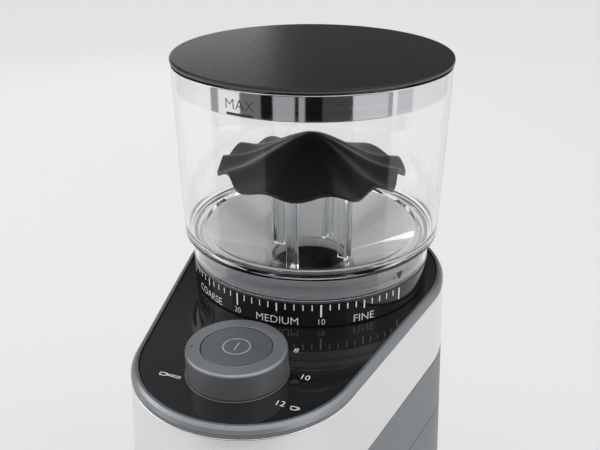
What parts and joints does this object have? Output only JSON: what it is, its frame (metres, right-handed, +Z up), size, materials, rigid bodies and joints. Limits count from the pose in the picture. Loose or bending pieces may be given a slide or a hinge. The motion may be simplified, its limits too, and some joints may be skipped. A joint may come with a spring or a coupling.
{
  "type": "burr coffee grinder",
  "caption": "Electric burr coffee grinder: clear bean hopper with flat lid on a turning grind-size ring, gloss deck with knob and start button, steel head, pull-out grounds bin.",
  "frame": {"origin": "on the floor, under the middle of the base", "axes": "+Z up, -Y the front with the knob and the grounds bin, +X the object's right as seen from the front"},
  "size_m": [0.1654, 0.2396, 0.4],
  "materials": {
    "satin_black": "satin black moulding",
    "chrome": "polished band",
    "clear_plastic": "clear, glossy",
    "soft_black": "soft satin silicone",
    "gloss_black": "piano gloss",
    "gunmetal": "satin metallic",
    "brushed_steel": "fine vertical brushing",
    "machined_steel": "machined",
    "grey_plastic": "satin grey",
    "dark_plastic": "fine texture",
    "nylon": "natural nylon",
    "brass": "machined",
    "armature": "laminations and copper windings",
    "board": "circuit board",
    "rubber": "matte rubber",
    "smoked_plastic": "smoked, clear"
  },
  "bodies": {
    "housing": {"scale_ring": "gloss_black", "deck_plate": "gloss_black", "deck_trim": "gunmetal", "steel_head": "brushed_steel", "upper_bearing": "machined_steel", "lower_bearing": "machined_steel", "idler_axle": "machined_steel", "button_spring": "machined_steel", "cover_screw_1": "machined_steel", "cover_screw_2": "machined_steel", "cover_screw_3": "machined_steel", "cover_screw_4": "machined_steel", "motor_can": "machined_steel", "grey_collar": "grey_plastic", "main_housing": "grey_plastic", "grinding_chamber": "dark_plastic", "grounds_chute": "dark_plastic", "gearbox_housing": "dark_plastic", "gearbox_cover": "dark_plastic", "motor_end_bell": "dark_plastic", "motor_magnet_front": "dark_plastic", "motor_magnet_back": "dark_plastic", "knob_encoder": "dark_plastic", "start_switch": "dark_plastic", "chassis_plate": "dark_plastic", "plinth": "dark_plastic", "bottom_cover": "dark_plastic", "cord_inlet": "dark_plastic", "bay_switch": "dark_plastic", "control_board": "board", "power_board": "board", "adjuster_seal": "rubber", "chute_seal": "rubber", "motor_mount": "rubber", "foot_1": "rubber", "foot_2": "rubber", "foot_3": "rubber", "foot_4": "rubber"},
    "lid": {"hopper_lid": "satin_black", "lid_steel_band": "chrome", "lid_seal": "rubber"},
    "hopper": {"hopper_bowl": "clear_plastic", "bean_guard_posts": "clear_plastic", "bean_guard_cap": "soft_black"},
    "adjuster": {"grind_adjuster": "dark_plastic", "ring_burr": "machined_steel"},
    "knob": {"knob_ring": "gunmetal", "knob_hub": "dark_plastic"},
    "button": {"start_button": "gunmetal"},
    "bin": {"grounds_bin": "smoked_plastic", "bin_lid": "dark_plastic"},
    "plunger": {"bay_plunger": "nylon"},
    "rotor": {"motor_armature": "armature", "motor_pinion": "brass"},
    "idler": {"idler_gear": "nylon"},
    "burr_drive": {"cone_burr": "machined_steel", "sweeper": "nylon", "burr_shaft": "machined_steel", "burr_nut": "machined_steel", "burr_wheel": "nylon"}
  },
  "joints": [
    {"name": "grind_size_turn", "type": "hinge", "parent": "housing", "child": "adjuster", "pos_m": [0, 0.03245, 0.27], "axis": [0, 0, 1], "range_deg": [-130, 0]},
    {"name": "hopper_lift", "type": "slide", "parent": "adjuster", "child": "hopper", "axis": [0, 0, 1], "range_m": [0, 0.06]},
    {"name": "lid_lift", "type": "slide", "parent": "hopper", "child": "lid", "axis": [0, 0, 1], "range_m": [0, 0.05]},
    {"name": "knob_turn", "type": "hinge", "parent": "housing", "child": "knob", "pos_m": [0, -0.06805, 0.29], "axis": [0, 0, 1], "range_deg": [-240, 0]},
    {"name": "start_press", "type": "slide", "parent": "housing", "child": "button", "axis": [0, 0, -1], "range_m": [0, 0.0012], "stiffness_N_per_m": 600, "springref_m": -0.0015, "deforming": ["button_spring"]},
    {"name": "bin_pull", "type": "slide", "parent": "housing", "child": "bin", "axis": [0, -1, 0], "range_m": [0, 0.14]},
    {"name": "plunger_press", "type": "slide", "parent": "housing", "child": "plunger", "axis": [0, 1, 0], "range_m": [0, 0.0015], "stiffness_N_per_m": 150, "springref_m": -0.001},
    {"name": "rotor_spin", "type": "hinge", "parent": "housing", "child": "rotor", "pos_m": [0, 0.07245, 0.13], "axis": [0, 0, 1], "continuous": true},
    {"name": "idler_spin", "type": "hinge", "parent": "housing", "child": "idler", "pos_m": [0.02334, 0.0536, 0.208], "axis": [0, 0, 1], "continuous": true},
    {"name": "burr_spin", "type": "hinge", "parent": "housing", "child": "burr_drive", "pos_m": [0, 0.03245, 0.23], "axis": [0, 0, 1], "continuous": true}
  ],
  "couplings": [
    {"joint": "idler_spin", "follows": "rotor_spin", "ratio": -0.33333},
    {"joint": "burr_spin", "follows": "rotor_spin", "ratio": 0.13333}
  ]
}
